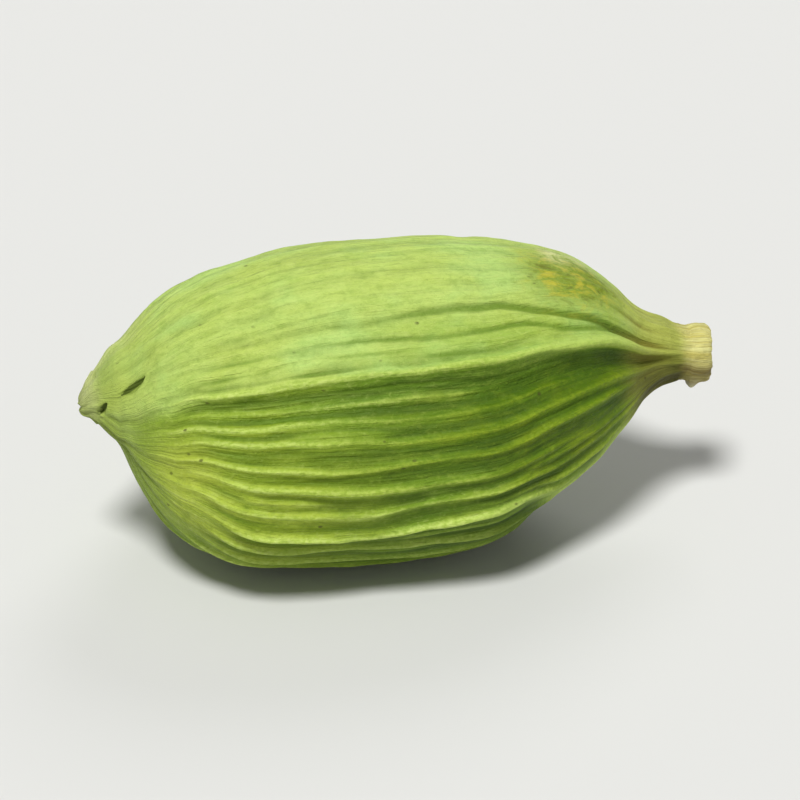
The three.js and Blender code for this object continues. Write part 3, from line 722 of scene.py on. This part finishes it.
    # The blossom end is paler, with a whitish lip and edge along its upper outline, partly dry husk and partly a
    # painted highlight, and slits painted dark as shade.
    colour = over(colour, tip_m, 0.5, rgb(160, 176, 70))
    dry_and_highlight = n.math("MAXIMUM", lip_m, n.math("MULTIPLY", dry_edge_and_highlight_m, n.span(streak, 0.34, 0.62, 0.35, 0.95)))
    colour = over(colour, n.math("MULTIPLY", dry_and_highlight, n.span(mottle, 0.34, 0.56, 0.65, 1.0)), 0.85, rgb(226, 234, 156))
    place_v = n.add("ShaderNodeAttribute", attribute_name="spot").outputs["Vector"]
    ragged = n.math("MULTIPLY", n.math("SUBTRACT", n.noise(n.vector("spot", (9.0, 9.0, 9.0)), 1.0, 3.0, 0.6), 0.5), 0.04)
    # Painted shade: each slit gets a darker band round it and a dark core.
    for first, last, way, side_way, wide in slit_lines:
        length = float(np.linalg.norm(last - first))
        t = n.math("MULTIPLY", n.dot(place_v, tuple(way), tuple(first)), 1.0 / length)
        over_end = n.math("MULTIPLY", n.math("SUBTRACT", t, n.math("MAXIMUM", n.math("MINIMUM", t, 1.0), 0.0)), length)
        across = n.math("ADD", n.dot(place_v, tuple(side_way), tuple(first)), ragged)
        gap = n.math("SQRT", n.math("ADD", n.math("MULTIPLY", over_end, over_end), n.math("MULTIPLY", across, across)))
        middle = n.math("SUBTRACT", n.math("MULTIPLY", t, 2.0), 1.0)
        lens = n.math("MAXIMUM", n.math("SUBTRACT", 1.0, n.math("MULTIPLY", middle, middle)), 0.0)
        share = n.math("DIVIDE", gap, n.math("MULTIPLY", n.math("ADD", n.math("MULTIPLY", lens, 0.55), 0.45), 1.2 * wide))
        colour = over(colour, n.math("MULTIPLY", slit_shade_m, n.span(share, 1.6, 1.05)), 0.35, rgb(126, 146, 52))
        colour = over(colour, n.math("MULTIPLY", slit_shade_m, n.span(share, 1.1, 0.6)), 0.88, rgb(68, 84, 10))
    # A scuffed, yellowed patch on the shoulder by the neck.
    colour = over(colour, n.math("MULTIPLY", shoulder_m, n.span(grain, 0.3, 0.55, 0.75, 1.0)), 0.95, rgb(126, 146, 32))
    colour = over(colour, n.math("MULTIPLY", shoulder_m, n.span(blotch, 0.46, 0.64)), 0.72, rgb(196, 186, 56))
    colour = over(colour, n.math("MULTIPLY", shoulder_m, n.span(blotch, 0.47, 0.34)), 0.75, rgb(106, 112, 22))
    colour = over(colour, n.math("MULTIPLY", scuff_m, n.span(blotch, 0.36, 0.56)), 0.72, rgb(220, 223, 160))
    # Yellower at the neck with brown between its fibres, partly its own colour and partly painted shade, straw-coloured
    # on the collar. The undersides of the neck and collar and the fold under the neck are darkened as painted shade.
    colour = over(colour, n.span(neck_m, 0.2, 0.95), 0.65, rgb(182, 182, 78))
    colour = over(colour, n.math("MULTIPLY", n.span(neck_m, 0.3, 0.9), n.span(cavity_m, 0.5, 0.2)), 0.6, rgb(116, 104, 26))
    colour = over(colour, n.math("MULTIPLY", n.span(neck_m, 0.5, 1.0), underside_shade_m), 0.6, rgb(92, 76, 20))
    colour = over(colour, fold_shade_m, 0.85, rgb(58, 54, 12))
    straw = n.mix(n.span(streak, 0.35, 0.65), rgb(236, 232, 152), rgb(212, 201, 106))
    straw = n.mix(n.math("MULTIPLY", n.span(fine, 0.5, 0.3), 0.4), straw, rgb(150, 122, 54))
    straw = n.mix(n.math("MULTIPLY", underside_shade_m, 0.7), straw, rgb(124, 96, 42))
    colour = n.mix(collar_m, colour, straw)
    # Browner on the front and lower front where the neck meets the collar.
    colour = over(colour, n.math("MULTIPLY", collar_join_brown_m, n.span(streak, 0.25, 0.6, 0.7, 1.0)), 0.8, rgb(98, 76, 22))
    colour = over(colour, tuft_m, 0.85, rgb(236, 230, 190))
    colour = n.mix(scar_m, colour, n.mix(n.span(grain, 0.4, 0.6), rgb(66, 46, 22), rgb(108, 84, 44)))
    colour = over(colour, pit_m, 0.85, rgb(66, 66, 26))
    # A few small dark specks.
    cells = n.add("ShaderNodeTexVoronoi", feature="F1")
    n.link(n.vector("spot", (1.1, 1.6, 1.6)), cells.inputs["Vector"])
    cells.inputs["Scale"].default_value = 1.0
    cells.inputs["Randomness"].default_value = 1.0
    near = n.math("MULTIPLY", n.span(cells.outputs["Distance"], 0.11, 0.04), n.span(n.noise(n.vector("spot", (0.8, 0.8, 0.8)), 1.0, 1.0), 0.46, 0.56))
    colour = over(colour, near, 0.75, rgb(66, 66, 20))

    shader = n.add("ShaderNodeBsdfPrincipled")
    n.link(colour, shader.inputs["Base Color"])
    n.link(n.span(fine, 0.3, 0.7, 0.52, 0.72), shader.inputs["Roughness"])
    shader.inputs["Specular IOR Level"].default_value = 0.26

    lines = n.math("MULTIPLY", n.math("SUBTRACT", fine, 0.5), 0.07)
    wrinkle = n.noise(n.vector("spot", (3.0, 4.5, 4.5)), 1.0, 5.0, 0.66, 0.3)
    cell = n.math("MULTIPLY", n.math("SUBTRACT", wrinkle, 0.5), 0.08)
    threads = n.math("MULTIPLY", n.math("SUBTRACT", n.noise(n.vector("fibre", (22.0, 22.0, 1.6)), 1.0, 2.0, 0.55), 0.5), 0.07)
    high = n.math("ADD", n.math("ADD", lines, cell), threads)
    bumps = n.add("ShaderNodeBump")
    bumps.inputs["Strength"].default_value = 1.0
    bumps.inputs["Distance"].default_value = MM
    n.link(high, bumps.inputs["Height"])
    n.link(bumps.outputs["Normal"], shader.inputs["Normal"])

    out = n.add("ShaderNodeOutputMaterial")
    n.link(shader.outputs["BSDF"], out.inputs["Surface"])
    return material


husk.data.materials.append(husk_material())
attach(husk, "root")
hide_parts("pod")


# ---------------------------------------------------------------- floor, light and camera

def plain(name, colour, roughness):
    material = bpy.data.materials.new(name)
    material.use_nodes = True
    shader = material.node_tree.nodes["Principled BSDF"]
    shader.inputs["Base Color"].default_value = colour
    shader.inputs["Roughness"].default_value = roughness
    shader.inputs["Specular IOR Level"].default_value = 0.2
    return material


def floor():
    mesh = bpy.data.meshes.new("floor")
    r = 3.0
    mesh.from_pydata([(-r, -r, 0), (r, -r, 0), (r, r, 0), (-r, r, 0)], [], [(0, 1, 2, 3)])
    mesh.materials.append(plain("pale_floor", rgb(214, 214, 211), 0.9))
    obj = bpy.data.objects.new("floor", mesh)
    obj.location.z = -0.00001
    bpy.context.scene.collection.objects.link(obj)


floor()


def sun(name, azimuth, elevation, strength, angle, colour=(1, 1, 1)):
    """A far soft lamp, so that the floor is lit the same everywhere."""
    lamp = bpy.data.lights.new(name, "SUN")
    lamp.energy = strength
    lamp.angle = math.radians(angle)
    lamp.color = colour
    obj = bpy.data.objects.new(name, lamp)
    a, e = math.radians(azimuth), math.radians(elevation)
    way = Vector((math.sin(a) * math.cos(e), -math.cos(a) * math.cos(e), math.sin(e)))
    obj.rotation_mode = "QUATERNION"
    obj.rotation_quaternion = way.to_track_quat("Z", "Y")
    bpy.context.scene.collection.objects.link(obj)


sun("key", -28, 64, 3.0, 14)
sun("rim", 150, 42, 0.7, 30)


def studio(name, high, low):
    """Soft light from all round: as bright as the floor near the horizon, darker overhead."""
    world = bpy.data.worlds.new(name)
    world.use_nodes = True
    tree = world.node_tree
    place_of = tree.nodes.new("ShaderNodeTexCoord")
    split = tree.nodes.new("ShaderNodeSeparateXYZ")
    ramp = tree.nodes.new("ShaderNodeMapRange")
    ramp.interpolation_type = "SMOOTHSTEP"
    for key, number in (("From Min", 0.10), ("From Max", 0.42), ("To Min", high), ("To Max", low)):
        ramp.inputs[key].default_value = number
    tree.links.new(place_of.outputs["Generated"], split.inputs[0])
    tree.links.new(split.outputs["Z"], ramp.inputs["Value"])
    tree.nodes["Background"].inputs["Color"].default_value = (1, 1, 1, 1)
    tree.links.new(ramp.outputs["Result"], tree.nodes["Background"].inputs["Strength"])
    bpy.context.scene.world = world


studio("studio", 0.66, 0.18)
bpy.context.scene.view_settings.view_transform = "Standard"
bpy.context.scene.view_settings.look = "None"


def camera(azimuth, elevation, lens, width, target):
    """Looks at target from that side; width is how much of the pod's plane the picture spans, in metres."""
    data = bpy.data.cameras.new("camera")
    data.lens = lens
    data.sensor_width = 36.0
    data.sensor_fit = "HORIZONTAL"
    distance = width / 2 / (18.0 / lens)
    data.clip_start, data.clip_end = distance * 0.02, 20.0
    obj = bpy.data.objects.new("camera", data)
    a, e = math.radians(azimuth), math.radians(elevation)
    way = Vector((math.sin(a) * math.cos(e), -math.cos(a) * math.cos(e), math.sin(e)))
    obj.location = Vector(target) + way * distance
    obj.rotation_mode = "QUATERNION"
    obj.rotation_quaternion = way.to_track_quat("Z", "Y")
    bpy.context.scene.collection.objects.link(obj)
    bpy.context.scene.camera = obj


camera(-11, 30, 200, 0.0242, (0.0, 0.0, 0.0044))
